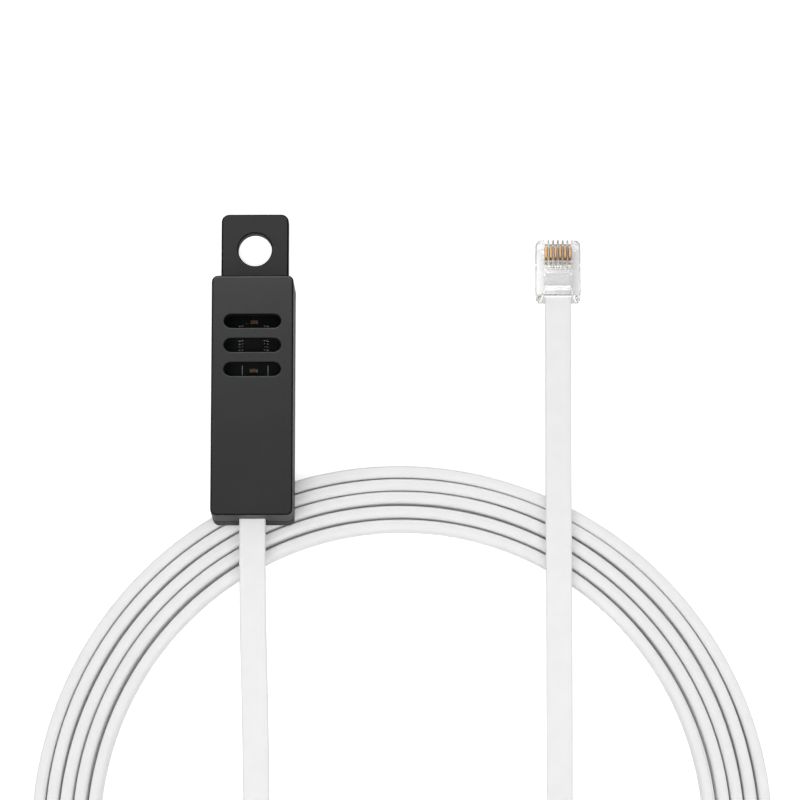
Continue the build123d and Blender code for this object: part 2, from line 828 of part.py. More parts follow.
# Cord from the ring to the plug. It leaves the outermost turn, climbs over the
# ring, lies down flat inside it, crosses its far side and enters the plug.
last_turn_radius = ring_outer_radius - turn_pitch / 2
plug_route = [
    beside_ring(last_turn_radius, last_turn_leaves, 0),
    beside_ring(last_turn_radius, last_turn_leaves, end_run),
    (5.3, -179.2, 8.6),
    (24.6, -184.4, 11.6),
    (43.9, -179.2, 12.4),
    (56.7, -166.5, 12.4),
    (64.9, -143.9, 8.4),
    (64.9, -124.0, 3.2),
    (64.9, -88.0, 2.2),
    (64.9, -67.0, 4.2),
    (64.9, -48.0, 10.6),
    (64.9, -24.5, 10.6),
    tuple(plug.from_local_coords((0, -16.4, plug_bay_height))),
    tuple(plug.from_local_coords((0, jacket_in_plug, plug_bay_height))),
]
plug_cord_length = cord_tube("plug_cord", plug_route, 7, 0.27, 0.72, False)

# Length of the whole cord, with the turns of the ring
turn_length = 2 * math.pi * (ring_inner_radius + ring_outer_radius) / 2
extra_turn = (last_turn_leaves - first_turn_starts) / 360
coiled_length = (turn_count + extra_turn) * turn_length
print("cord in all", round(head_cord_length + coiled_length + plug_cord_length, 0))
print("head tilt", round(math.degrees(head_tilt), 2), "plug tilt", round(math.degrees(plug_tilt), 2))
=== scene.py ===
# %% [markdown]
# # A rack temperature sensor
#
# This notebook dresses a small sensor that hangs in a computer rack. Its dark head has
# three air slots, a circuit board behind them and a tab to hang it by. A flat, off-white
# telephone-style cord leaves the head, lies wound in a ring on the table, and ends in a
# clear modular plug. The solids come from the CAD model. Blender adds the finishes, the
# limp cord and the fine detail on the board.

import json
import math

import bmesh
import bpy
from mathutils import Matrix, Vector

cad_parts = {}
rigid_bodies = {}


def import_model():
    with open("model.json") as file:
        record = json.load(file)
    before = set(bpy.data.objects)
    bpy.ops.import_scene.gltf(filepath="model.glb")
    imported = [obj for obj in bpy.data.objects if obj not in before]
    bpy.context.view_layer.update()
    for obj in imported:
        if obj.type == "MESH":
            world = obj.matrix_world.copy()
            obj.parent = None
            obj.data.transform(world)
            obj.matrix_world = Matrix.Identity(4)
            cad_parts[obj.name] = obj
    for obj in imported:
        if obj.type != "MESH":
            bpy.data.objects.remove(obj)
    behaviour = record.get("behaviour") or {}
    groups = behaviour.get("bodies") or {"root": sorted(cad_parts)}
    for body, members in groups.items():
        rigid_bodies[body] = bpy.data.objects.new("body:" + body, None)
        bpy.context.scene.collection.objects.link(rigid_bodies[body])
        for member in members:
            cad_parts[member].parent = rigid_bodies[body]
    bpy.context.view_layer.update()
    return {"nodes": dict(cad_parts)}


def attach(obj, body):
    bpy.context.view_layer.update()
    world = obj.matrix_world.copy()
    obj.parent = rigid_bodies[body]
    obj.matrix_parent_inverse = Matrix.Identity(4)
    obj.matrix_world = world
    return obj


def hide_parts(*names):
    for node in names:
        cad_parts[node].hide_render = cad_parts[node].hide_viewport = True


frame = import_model()
nodes = frame["nodes"]
MM = 0.001

# %% [markdown]
# ## Where the head lies
#
# The head isn't level. Its tab rests on the table and its other end lies on the ring of
# cord, so it leans by a few degrees. Everything on it is easier to place in the head's own
# directions: across it, along it from the end where the cord leaves, and up from its back.
# One matrix turns such a place into the shared frame. The plug gets a matrix of its own,
# because it leans on its latch.

# %% The head's and the plug's own directions
HEAD_LENGTH = 67.2 * MM
TAB_THICKNESS = 2.8 * MM
RING_X, RING_Y = 31.3 * MM, -100.0 * MM
RING_OUTER_RADIUS = 78.8 * MM
HALF_BODY_WIDTH = 8.7 * MM
CORD_WIDTH, CORD_THICKNESS = 5.57 * MM, 2.4 * MM
SEAT_GAP = 0.15 * MM

ring_reach = math.sqrt(RING_OUTER_RADIUS**2 - (RING_X - HALF_BODY_WIDTH) ** 2) + RING_Y
head_lean = math.asin((CORD_WIDTH + SEAT_GAP) / (HEAD_LENGTH / 2 - ring_reach))


def leaning_frame(x, y, z, lean):
    """A matrix for a piece that starts at x, y, z and slopes down along +Y by lean."""
    across = Vector((1, 0, 0))
    along = Vector((0, math.cos(lean), -math.sin(lean)))
    up = Vector((0, math.sin(lean), math.cos(lean)))
    turn = Matrix((across, along, up)).transposed().to_4x4()
    return Matrix.Translation((x, y, z)) @ turn


head_start = -(HEAD_LENGTH * math.cos(head_lean) + TAB_THICKNESS * math.sin(head_lean)) / 2
HEAD = leaning_frame(0, head_start, HEAD_LENGTH * math.sin(head_lean), head_lean)

PLUG_LENGTH = 12.32 * MM
LATCH_DROP, LATCH_END = 2.0 * MM, 0.6 * MM
PLUG_X, PLUG_Y = 64.9 * MM, 14.25 * MM
plug_lean = math.atan(LATCH_DROP / (PLUG_LENGTH - LATCH_END))
PLUG = leaning_frame(PLUG_X, PLUG_Y, PLUG_LENGTH * math.sin(plug_lean), plug_lean)
print("head leans", round(math.degrees(head_lean), 2), "degrees")
print("plug leans", round(math.degrees(plug_lean), 2), "degrees")

# %% [markdown]
# ## The camera
#
# The photograph was taken from nearly straight above with a long lens, so the head and the
# ring show almost no perspective. A 300 mm lens far away does the same. The camera leans a
# few degrees, which is why the head's lower end wall and its right side just show.

# %% Camera
LENS = 300.0
SENSOR = 36.0
NEAREST, FARTHEST = 0.05, 20.0
SEEN_WIDTH = 170.8 * MM
LEAN_BACK, LEAN_RIGHT = math.radians(5.3), math.radians(1.3)
camera_target = Vector((31.13, -6.73, 5.57)) * MM

camera_data = bpy.data.cameras.new("camera")
camera_data.lens = LENS
camera_data.sensor_width = SENSOR
camera_data.clip_start, camera_data.clip_end = NEAREST, FARTHEST
camera = bpy.data.objects.new("camera", camera_data)
bpy.context.scene.collection.objects.link(camera)
bpy.context.scene.camera = camera

backward = Vector((math.sin(LEAN_RIGHT), -math.sin(LEAN_BACK), math.cos(LEAN_BACK))).normalized()
rightward = Vector((0, 1, 0)).cross(backward).normalized()
upward = backward.cross(rightward)
camera_distance = SEEN_WIDTH * LENS / SENSOR
camera.matrix_world = (
    Matrix.Translation(camera_target + backward * camera_distance)
    @ Matrix((rightward, upward, backward)).transposed().to_4x4()
)
bpy.context.scene.view_settings.view_transform = "Standard"
print("camera is", round(camera_distance, 2), "m away")

# %% [markdown]
# ## The cord's route
#
# The cord is one piece from the head to the plug, about 2.6 m long. It could be a curve with
# a bevel, but a flat cord has to lie flat in one place and stand on edge in another, and a
# bevelled curve doesn't turn that way on command. So the route is a smooth NURBS spline, and
# the cord is a mesh that follows points read from it.
#
# It leaves the head flat, sinks to the table inside the ring, turns on edge, and joins the
# innermost turn. After five turns it leaves the outermost one, climbs over the ring, lies
# down flat inside it, crosses the far side of the ring in a low hump and enters the plug.

# %% Route of the cord
JACKET_IN_HEAD, CORD_CENTRE = 8.5 * MM, 6.7 * MM
JACKET_IN_PLUG, PLUG_BAY_HEIGHT = 6.2 * MM, 2.7 * MM
STRAIGHT_FROM_HEAD, STRAIGHT_FROM_PLUG = 16.2 * MM, 16.4 * MM
EDGE_LIE = 2.8 * MM
END_RUN = 11.0 * MM
TURN_PITCH, TURN_COUNT = 2.9 * MM, 5
LAST_TURN_LEAVES, FIRST_TURN_STARTS = 230.0, 285.0
last_turn_radius = RING_OUTER_RADIUS - TURN_PITCH / 2
first_turn_radius = last_turn_radius - (TURN_COUNT - 1) * TURN_PITCH


def beside_ring(radius, degrees, along):
    """A point on a turn's tangent, a length along it from where it touches the turn."""
    turn = math.radians(degrees)
    x = RING_X + radius * math.cos(turn) - along * math.sin(turn)
    y = RING_Y + radius * math.sin(turn) + along * math.cos(turn)
    return Vector((x, y, EDGE_LIE))


head_route = [
    HEAD @ Vector((0, JACKET_IN_HEAD, CORD_CENTRE)),
    HEAD @ Vector((0, -STRAIGHT_FROM_HEAD, CORD_CENTRE)),
    Vector((0.5, -75.0, 8.0)) * MM,
    Vector((0.6, -103.0, 2.8)) * MM,
    Vector((0.5, -140.5, 2.8)) * MM,
    Vector((9.5, -157.5, 2.8)) * MM,
    Vector((22.2, -163.2, 2.8)) * MM,
    beside_ring(first_turn_radius, FIRST_TURN_STARTS, -END_RUN),
]
plug_route = [
    beside_ring(last_turn_radius, LAST_TURN_LEAVES, END_RUN),
    Vector((5.3, -179.2, 8.6)) * MM,
    Vector((24.6, -184.4, 11.6)) * MM,
    Vector((43.9, -179.2, 12.4)) * MM,
    Vector((56.7, -166.5, 12.4)) * MM,
    Vector((64.9, -143.9, 8.4)) * MM,
    Vector((64.9, -124.0, 3.2)) * MM,
    Vector((65.05, -88.0, 2.2)) * MM,
    Vector((65.05, -67.0, 4.2)) * MM,
    Vector((65.0, -48.0, 10.6)) * MM,
    Vector((64.9, -24.5, 10.6)) * MM,
    PLUG @ Vector((0, -STRAIGHT_FROM_PLUG, PLUG_BAY_HEIGHT)),
    PLUG @ Vector((0, JACKET_IN_PLUG, PLUG_BAY_HEIGHT)),
]
print("points on the two free ends:", len(head_route), "and", len(plug_route))

# %% [markdown]
# ## The turns of the ring
#
# The five turns stand on edge against each other. They aren't evenly spaced: the photograph
# shows the inner ones a little further apart, and all of them a little further out at the
# top of the picture than at its sides. On the near side, which the picture's edge hides,
# each turn shifts outward to the place of the next one.
#
# A loop gives one control point every ten degrees. A quadratic spline runs a little inside
# such points, so their radius is divided by the cosine of half a step.

# %% Turns of the ring
TURN_STEP = 10.0
SHIFT_STARTS, SHIFT_ENDS = 226.0, 290.0
WAVERS_PER_TURN = 3
TURN_RADII = (65.48, 68.5, 71.45, 74.32, 77.3)
TURN_SWELLS = (0.9, 0.7, 0.65, 0.8, 0.4)
TURN_WAVERS = (0.0, 0.12, 0.12, 0.16, 0.17)
WAVER_PHASES = (0.0, 70.0, 150.0, 20.0, 93.0)


def smooth(share):
    """An ease from 0 to 1."""
    share = min(1.0, max(0.0, share))
    return share * share * (3 - 2 * share)


def own_radius(turn, degrees):
    """Radius of one turn's middle where it keeps its own place."""
    swell = TURN_SWELLS[turn] * max(0.0, math.sin(math.radians(degrees))) ** 2
    phase = math.radians(WAVERS_PER_TURN * degrees + WAVER_PHASES[turn])
    waver = TURN_WAVERS[turn] * math.sin(phase)
    return (TURN_RADII[turn] + swell + waver) * MM


def turn_radius(total):
    """Radius of the cord's middle after a total angle in degrees."""
    whole, here = divmod(total, 360.0)
    before = min(TURN_COUNT - 1, max(0, int(whole) - 1))
    after = min(TURN_COUNT - 1, int(whole))
    share = smooth((here - SHIFT_STARTS) / (SHIFT_ENDS - SHIFT_STARTS))
    return own_radius(before, here) * (1 - share) + own_radius(after, here) * share


def coil_points():
    """Control points of the turns, from where the first starts to where the last leaves."""
    total = FIRST_TURN_STARTS
    last = 360.0 * TURN_COUNT + LAST_TURN_LEAVES
    found = []
    while total <= last:
        turn = math.radians(total)
        radius = turn_radius(total) / math.cos(math.radians(TURN_STEP / 2))
        x = RING_X + radius * math.cos(turn)
        y = RING_Y + radius * math.sin(turn)
        found.append(Vector((x, y, EDGE_LIE)))
        total += TURN_STEP
    return found


cord_points = head_route + coil_points() + plug_route
print("control points on the cord:", len(cord_points))

# %% [markdown]
# ## From a route to a flat cord
#
# The spline's own points are read back from Blender, so the cord follows the same line that
# a plain curve would draw. At each one the section is turned to the angle that the cord has
# there: flat, on edge, or part of the way between them.

# %% Spline and its points
SPLINE_RESOLUTION, SPLINE_ORDER = 16, 3
SAMPLE_SPACING = 1.3 * MM


def spline_points(points):
    """Points along the smooth NURBS line of a route, about evenly spaced."""
    curve = bpy.data.curves.new("cord_route", "CURVE")
    curve.dimensions = "3D"
    curve.resolution_u = SPLINE_RESOLUTION
    spline = curve.splines.new("NURBS")
    spline.points.add(len(points) - 1)
    for place, point in zip(spline.points, points):
        place.co = (*point, 1.0)
    spline.order_u = SPLINE_ORDER
    spline.use_endpoint_u = True
    holder = bpy.data.objects.new("cord_route", curve)
    bpy.context.scene.collection.objects.link(holder)
    mesh = bpy.data.meshes.new_from_object(holder)
    line = [vertex.co.copy() for vertex in mesh.vertices]
    bpy.data.objects.remove(holder)
    bpy.data.meshes.remove(mesh)
    kept = [line[0]]
    for point in line[1:-1]:
        if (point - kept[-1]).length >= SAMPLE_SPACING:
            kept.append(point)
    if (line[-1] - kept[-1]).length < SAMPLE_SPACING / 2:
        kept.pop()
    kept.append(line[-1])
    return kept


cord_line = spline_points(cord_points)
cord_length = sum((b - a).length for a, b in zip(cord_line, cord_line[1:]))
print("points along the cord:", len(cord_line), "length in m:", round(cord_length, 3))

# %% [markdown]
# ## Flat, on edge and flat again
#
# Each end of the cord turns a quarter about its own line, so that the cord lies flat at the
# head and at the plug and stands on edge in between. In the ring each turn also leans
# outward by a few degrees, the middle ones most.

# %% Angle of the section along the cord
TURN_LEANS = (3.5, 8.0, 8.0, 6.0, 6.0)
HEAD_TWIST = (-116.0 * MM, -132.0 * MM)
PLUG_TWIST = (-114.5 * MM, -98.0 * MM)
LEAN_BEGINS, LEAN_ENDS = 40 * MM, 150 * MM
half_way = len(cord_line) // 2


def first_past(points, y, falling):
    """Index of the first point that has passed y."""
    for index, point in enumerate(points):
        if (point.y < y) == falling:
            return index
    return len(points) - 1


stand_from = first_past(cord_line[:half_way], HEAD_TWIST[0], True)
stand_to = first_past(cord_line[:half_way], HEAD_TWIST[1], True)
back_to_front = cord_line[::-1]
lie_to = len(cord_line) - 1 - first_past(back_to_front, PLUG_TWIST[1], True)
lie_from = len(cord_line) - 1 - first_past(back_to_front, PLUG_TWIST[0], True)
joins_coil = stand_to + int(LEAN_BEGINS / SAMPLE_SPACING)
leaves_coil = lie_from - int(LEAN_ENDS / SAMPLE_SPACING)
print("on edge from point", stand_to, "to point", lie_from)


def turn_lean(point):
    """Outward lean of the turn that a point of the ring lies on, in degrees."""
    radius = math.hypot(point.x - RING_X, point.y - RING_Y)
    place = min(TURN_COUNT - 1, max(0, (radius - first_turn_radius) / TURN_PITCH))
    lower = min(TURN_COUNT - 2, int(place))
    share = smooth(place - lower)
    return TURN_LEANS[lower] * (1 - share) + TURN_LEANS[lower + 1] * share


def coil_share(index):
    """0 on the two free ends of the cord, and 1 in the ring."""
    share_in = smooth((index - stand_to) / (joins_coil - stand_to))
    share_out = 1 - smooth((index - leaves_coil) / (lie_from - leaves_coil))
    return min(share_in, share_out)


def section_angle(index):
    """Turn of the section in degrees: 0 and 180 are flat, and 90 is on edge."""
    standing = 90 * smooth((index - stand_from) / (stand_to - stand_from))
    lying = 90 * smooth((index - lie_from) / (lie_to - lie_from))
    return standing + lying + turn_lean(cord_line[index]) * coil_share(index)


# %% [markdown]
# ## The section of the cord
#
# The jacket's section is a flat rectangle with rounded corners. In the ring, where the turns
# press against each other, the broad face that looks inward is rounder than the other. So
# each turn fades softly towards the ring's middle and starts with a crisp edge, which is how
# the photograph shows them.

# %% Section of the cord
OUTER_FACE = 1
OUTER_ROUND, INNER_ROUND = 0.45 * MM, 1.15 * MM
ROUND_STEPS = 6
FLAT_STEPS = 5


def cord_section(index):
    """Outline of the flat cord there, as (across, through) in metres."""
    half_width, half_thickness = CORD_WIDTH / 2, CORD_THICKNESS / 2
    inner_round = OUTER_ROUND + (INNER_ROUND - OUTER_ROUND) * coil_share(index)
    outline = []
    for quarter, (side, face) in enumerate(((1, 1), (-1, 1), (-1, -1), (1, -1))):
        rounding = OUTER_ROUND if face == OUTER_FACE else inner_round
        middle_x, middle_y = side * (half_width - rounding), face * (half_thickness - rounding)
        for k in range(ROUND_STEPS + 1):
            turn = math.radians(90 * (quarter + k / ROUND_STEPS))
            x = middle_x + rounding * math.cos(turn)
            y = middle_y + rounding * math.sin(turn)
            outline.append((x, y))
        if quarter % 2 == 0:
            for k in range(1, FLAT_STEPS):
                outline.append((middle_x * (1 - 2 * k / FLAT_STEPS), face * half_thickness))
    return outline


print("points in the section:", len(cord_section(0)))

# %% A ribbon along a line
SHARP_FROM = math.radians(40.0)


def finished(name, mesh):
    """An object from a bmesh, with smooth shading over all but its sharp edges."""
    data = bpy.data.meshes.new(name)
    mesh.to_mesh(data)
    mesh.free()
    for polygon in data.polygons:
        polygon.use_smooth = True
    data.set_sharp_from_angle(angle=SHARP_FROM)
    piece = bpy.data.objects.new(name, data)
    bpy.context.scene.collection.objects.link(piece)
    return piece


def ribbon_mesh(name, line, outline_at, angle_at):
    """A closed tube along a line. Two functions give the section and its turn at each point."""
    mesh = bmesh.new()
    rings = []
    for index, point in enumerate(line):
        before, after = line[max(0, index - 1)], line[min(len(line) - 1, index + 1)]
        along = (after - before).normalized()
        level = Vector((0, 0, 1)).cross(along).normalized()
        upright = along.cross(level)
        turn = math.radians(angle_at(index))
        wide = level * math.cos(turn) + upright * math.sin(turn)
        thin = along.cross(wide)
        outline = outline_at(index)
        rings.append([mesh.verts.new(point + wide * w + thin * t) for w, t in outline])
    count = len(rings[0])
    for ring, following in zip(rings, rings[1:]):
        for k in range(count):
            m = (k + 1) % count
            mesh.faces.new((ring[k], ring[m], following[m], following[k]))
    mesh.faces.new(rings[0][::-1])
    mesh.faces.new(rings[-1])
    bmesh.ops.recalc_face_normals(mesh, faces=mesh.faces)
    return finished(name, mesh)


# %% The cord
flat_cord = ribbon_mesh("flat_cord", cord_line, cord_section, section_angle)
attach(flat_cord, "root")
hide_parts("head_cord", "cord_coil", "plug_cord")

# %% [markdown]
# ## Colours and nodes
#
# Each colour is written as the hex value that it has on a screen, and one function turns it
# into the linear value that shaders work in. One more function adds a shader node with its
# settings and links, and every material below is made with it. Nodes could be drawn by hand
# in the shader editor too. In code they are easy to repeat and to compare.

# %% Screen colours


def linear(hex_colour):
    """Linear RGBA from a screen colour such as '#d8d8d6'."""
    found = []
    for start in (1, 3, 5):
        value = int(hex_colour[start : start + 2], 16) / 255
        found.append(value / 12.92 if value <= 0.04045 else ((value + 0.055) / 1.055) ** 2.4)
    return (*found, 1.0)


print("mid grey on a screen is", round(linear("#808080")[0], 3), "in linear light")

# %% Nodes and links


def output_of(source):
    """A node's first output in use. An output or a plain value stays as it is."""
    if isinstance(source, bpy.types.Node):
        return next(output for output in source.outputs if output.enabled)
    return source


def add_node(owner, kind, settings=None, **inputs):
    """Adds a shader node. An input's name is its socket's, or i and the socket's number."""
    tree = owner.node_tree
    node = tree.nodes.new(kind)
    for name, value in (settings or {}).items():
        setattr(node, name, value)
    for name, source in inputs.items():
        socket = node.inputs[int(name[1:]) if name[1:].isdigit() else name.replace("_", " ")]
        value = output_of(source)
        if isinstance(value, bpy.types.NodeSocket):
            tree.links.new(value, socket)
        else:
            socket.default_value = value
    return node


def link(owner, source, target, name):
    """Links a node's output to a named input of another node."""
    owner.node_tree.links.new(output_of(source), target.inputs[name])


# %% Materials on pieces


def new_material(name, **inputs):
    """A material with one Principled shader, given its inputs."""
    material = bpy.data.materials.new(name)
    material.use_nodes = True
    material.node_tree.nodes.clear()
    shader = add_node(material, "ShaderNodeBsdfPrincipled", **inputs)
    add_node(material, "ShaderNodeOutputMaterial", Surface=shader)
    return material, shader


def dress(piece, material):
    """Gives a piece one material."""
    piece.data.materials.clear()
    piece.data.materials.append(material)


# %% [markdown]
# ## Small differences
#
# No real surface is quite even. A photograph of each finish could be wrapped round its piece,
# but a noise in the piece's own space needs no unwrapping and keeps its real size. Most of
# the finishes here take their differences in tone, shine and depth from one such noise. Its
# scale is in cells a millimetre.

# %% Uneven finishes
MIDDLE_OF_NOISE, CORE_OF_NOISE = (0.3, 0.7), (0.35, 0.65)
IN_COLOUR = {"data_type": "RGBA"}


def uneven(
    material,
    shader,
    cells_per_mm,
    detail=2.0,
    tones=None,
    span=MIDDLE_OF_NOISE,
    most=1.0,
    roughness=None,
    depth_mm=0.0,
    strength=1.0,
):
    """Makes a finish uneven, and returns its colour node if it has two tones.

    The span is the part of the noise that the tones spread over, and most is the largest
    share of the second tone.
    """
    places = add_node(material, "ShaderNodeTexCoord")
    grain = add_node(
        material,
        "ShaderNodeTexNoise",
        Vector=places.outputs["Object"],
        Scale=cells_per_mm / MM,
        Detail=detail,
    )
    colour = None
    if tones:
        low, high = span
        share = add_node(material, "ShaderNodeMapRange", i0=grain, i1=low, i2=high, i4=most)
        first, second = linear(tones[0]), linear(tones[1])
        colour = add_node(material, "ShaderNodeMix", IN_COLOUR, i0=share, i6=first, i7=second)
        link(material, colour, shader, "Base Color")
    if roughness:
        low, high = MIDDLE_OF_NOISE
        smoothest, roughest = roughness
        spread = add_node(
            material, "ShaderNodeMapRange", i0=grain, i1=low, i2=high, i3=smoothest, i4=roughest
        )
        link(material, spread, shader, "Roughness")
    if depth_mm:
        relief = add_node(
            material, "ShaderNodeBump", Height=grain, Distance=depth_mm * MM, Strength=strength
        )
        link(material, relief, shader, "Normal")
    return colour


# %% [markdown]
# ## Head: dark ABS
#
# The two shells are injection-moulded ABS in a dark grey. The mould is lightly textured,
# which gives the face a soft, wide sheen instead of a mirror shine. The back shell's texture
# is coarser, so its tab looks a shade darker than the face. ABS has an IOR of about 1.54.
# The grain of such a texture is about 0.05 mm, and it is drawn at about 0.12 mm here so that
# it shows at all. A Bevel node softens the moulded edges by a quarter of a millimetre, which
# draws the thin bright line at the top of the tab and under each slot. The walls are matter
# than the faces. Along the rounded edges the base colour is painted nearly black, a painted
# shade that deepens the dark line which the dark horizon draws there in reflections.
#
# Face, wall and edge could be three materials on three sets of polygons. Here one material
# tells them apart by how far the softened normal points up, so that one fades into the next.

# %% Face, walls and edges of the mould
EDGE_SOFTNESS = 0.25 * MM
EDGE_SAMPLES = 8
FACE_STARTS, FACE_FULL = 0.8, 0.93
WALL_STARTS, WALL_FULL = 0.35, 0.15


def mould_zones(material):
    """The softened normal, and how much each spot counts as face and as wall."""
    softened = add_node(
        material, "ShaderNodeBevel", {"samples": EDGE_SAMPLES}, Radius=EDGE_SOFTNESS
    )
    up = add_node(material, "ShaderNodeSeparateXYZ", i0=softened).outputs["Z"]
    on_face = add_node(material, "ShaderNodeMapRange", i0=up, i1=FACE_STARTS, i2=FACE_FULL)
    on_wall = add_node(material, "ShaderNodeMapRange", i0=up, i1=WALL_STARTS, i2=WALL_FULL)
    return softened, on_face, on_wall


print("dark ABS: edges softened by", EDGE_SOFTNESS / MM, "mm")

# %% Dark ABS
WALL_ROUGHNESS = 0.45
GRAIN_PER_MM, PATCHES_PER_MM = 8.0, 0.12
GRAIN_DEPTH, GRAIN_STRENGTH = 0.003 * MM, 0.4
ABS_TONES, ABS_PAINTED_EDGE_SHADE = ("#222222", "#242424"), "#0c0c0c"
TIMES, LARGER = {"operation": "MULTIPLY"}, {"operation": "MAXIMUM"}


def moulded_abs(name, smoothest, roughest, face, wall):
    """Dark textured ABS: a range of roughness, a sheen on face and walls, painted shade on edges.
    """
    material, shader = new_material(name, IOR=1.54)
    softened, on_face, on_wall = mould_zones(material)
    plastic = uneven(material, shader, PATCHES_PER_MM, tones=ABS_TONES, span=CORE_OF_NOISE)
    off_edge = add_node(material, "ShaderNodeMath", LARGER, i0=on_face, i1=on_wall)
    # Painted shade: the rounded edges get a nearly black base colour.
    painted_edge_shade = linear(ABS_PAINTED_EDGE_SHADE)
    colour = add_node(material, "ShaderNodeMix", IN_COLOUR, i0=off_edge, i6=painted_edge_shade, i7=plastic)
    link(material, colour, shader, "Base Color")

    face_sheen = add_node(material, "ShaderNodeMath", TIMES, i0=on_face, i1=face)
    wall_sheen = add_node(material, "ShaderNodeMath", TIMES, i0=on_wall, i1=wall)
    sheen = add_node(material, "ShaderNodeMath", LARGER, i0=face_sheen, i1=wall_sheen)
    link(material, sheen, shader, "Specular IOR Level")

    places = add_node(material, "ShaderNodeTexCoord")
    grain = add_node(
        material,
        "ShaderNodeTexNoise",
        Vector=places.outputs["Object"],
        Scale=GRAIN_PER_MM / MM,
        Detail=2.0,
    )
    low, high = MIDDLE_OF_NOISE
    face_rough = add_node(
        material, "ShaderNodeMapRange", i0=grain, i1=low, i2=high, i3=smoothest, i4=roughest
    )
    wall_rough = add_node(material, "ShaderNodeMath", TIMES, i0=on_wall, i1=WALL_ROUGHNESS)
    rough = add_node(material, "ShaderNodeMath", LARGER, i0=face_rough, i1=wall_rough)
    link(material, rough, shader, "Roughness")
    relief = add_node(
        material,
        "ShaderNodeBump",
        Height=grain,
        Distance=GRAIN_DEPTH,
        Strength=GRAIN_STRENGTH,
        Normal=softened,
    )
    link(material, relief, shader, "Normal")
    return material


dress(nodes["front_shell"], moulded_abs("front_abs", 0.23, 0.27, 0.5, 0.2))
dress(nodes["back_shell"], moulded_abs("back_abs", 0.42, 0.47, 0.29, 0.06))
print("shells dressed in", nodes["front_shell"].data.materials[0].name, "and back_abs")

# %% [markdown]
# ## Cord: soft PVC
#
# The jacket is extruded plasticised PVC, off-white and satin. It has an IOR of about 1.53,
# and a little light goes into it and comes out again, which softens the shading between the
# turns. The extrusion leaves it very smooth, with faint waves about 4 mm long. A plain white
# gloss would do from afar, but the turns would then look as hard as china.

# %% Soft PVC
pvc, pvc_shader = new_material(
    "soft_pvc",
    IOR=1.53,
    Roughness=0.42,
    Subsurface_Weight=0.25,
    Subsurface_Radius=(1.0, 0.9, 0.8),
    Subsurface_Scale=0.6 * MM,
)
pvc_tones = ("#f0f0f0", "#f2f2f2")
uneven(pvc, pvc_shader, 0.25, tones=pvc_tones, depth_mm=0.02, detail=1.0, span=CORE_OF_NOISE)
dress(flat_cord, pvc)
print("cord jacket:", pvc.name, "from", *pvc_tones)

# %% [markdown]
# ## Plug: clear polycarbonate
#
# A modular plug is moulded from clear polycarbonate, which bends light strongly: its IOR is
# 1.585. Its walls look grey at their edges, where light comes in from far to the side. The
# inner walls of the comb and the bay are what make it sparkle, and the CAD model has them.
# Light that has bounced three times between its walls is let straight out, or the thin walls
# of the cord's mouth would turn dark where a render stops counting bounces. The mould's flow
# leaves faint waves of a millimetre or two. Soft light passes straight through as well, so
# that the plug's shadow stays as pale as a clear piece's.

# %% Clear polycarbonate
BOUNCES_KEPT = 2.5

clear, clear_shader = new_material(
    "clear_polycarbonate",
    Base_Color=linear("#f5f5f5"),
    IOR=1.585,
    Roughness=0.04,
    Transmission_Weight=1.0,
)
uneven(clear, clear_shader, 0.6, depth_mm=0.02, detail=1.0, strength=0.3)
light_path = add_node(clear, "ShaderNodeLightPath").outputs
shadow_ray, diffuse_ray = light_path["Is Shadow Ray"], light_path["Is Diffuse Ray"]
soft_light = add_node(clear, "ShaderNodeMath", LARGER, i0=shadow_ray, i1=diffuse_ray)
trapped = add_node(
    clear,
    "ShaderNodeMath",
    {"operation": "GREATER_THAN"},
    i0=light_path["Glossy Depth"],
    i1=BOUNCES_KEPT,
)
passing = add_node(clear, "ShaderNodeMath", LARGER, i0=soft_light, i1=trapped)
see_through = add_node(clear, "ShaderNodeBsdfTransparent", Color=linear("#fcfcfc"))
either = add_node(clear, "ShaderNodeMixShader", i0=passing, i1=clear_shader, i2=see_through)
link(clear, either, clear.node_tree.nodes["Material Output"], "Surface")
dress(nodes["plug_body"], clear)
print("plug body:", clear.name, "with", len(clear.node_tree.nodes), "nodes")

# %% [markdown]
# ## Contacts: gold plate
#
# The six contact blades are plated with gold over nickel and rubbed a little by use, in marks
# a third of a millimetre long. They stand in the plug's comb, and where its walls shade them
# at both ends they look brown. Bare gold would mirror the white studio from end to end, so
# the colour darkens there, over a quarter of a millimetre.

# %% Gold plate on the contacts
CONTACT_MIDDLE_Y = 25.15 * MM
CONTACT_BRIGHT_HALF, CONTACT_DARK_HALF = 1.3 * MM, 1.55 * MM

gold, gold_shader = new_material("gold_plate", Metallic=1.0)
gold_tone = uneven(
    gold,
    gold_shader,
    3.0,
    tones=("#b48e63", "#cfae86"),
    roughness=(0.16, 0.3),
    span=CORE_OF_NOISE,
)
gold_place = add_node(gold, "ShaderNodeTexCoord")
gold_split = add_node(gold, "ShaderNodeSeparateXYZ", i0=gold_place.outputs["Object"])
past_middle = add_node(
    gold,
    "ShaderNodeMath",
    {"operation": "SUBTRACT"},
    i0=gold_split.outputs["Y"],
    i1=CONTACT_MIDDLE_Y,
)
from_middle = add_node(gold, "ShaderNodeMath", {"operation": "ABSOLUTE"}, i0=past_middle)
shaded_end = add_node(
    gold, "ShaderNodeMapRange", i0=from_middle, i1=CONTACT_BRIGHT_HALF, i2=CONTACT_DARK_HALF
)
contact_tone = add_node(
    gold, "ShaderNodeMix", IN_COLOUR, i0=shaded_end, i6=gold_tone, i7=linear("#4d3c2d")
)
link(gold, contact_tone, gold_shader, "Base Color")
contacts = [node for name, node in nodes.items() if name.startswith("plug_contact_")]
for contact in contacts:
    dress(contact, gold)
print("gold contacts:", len(contacts))
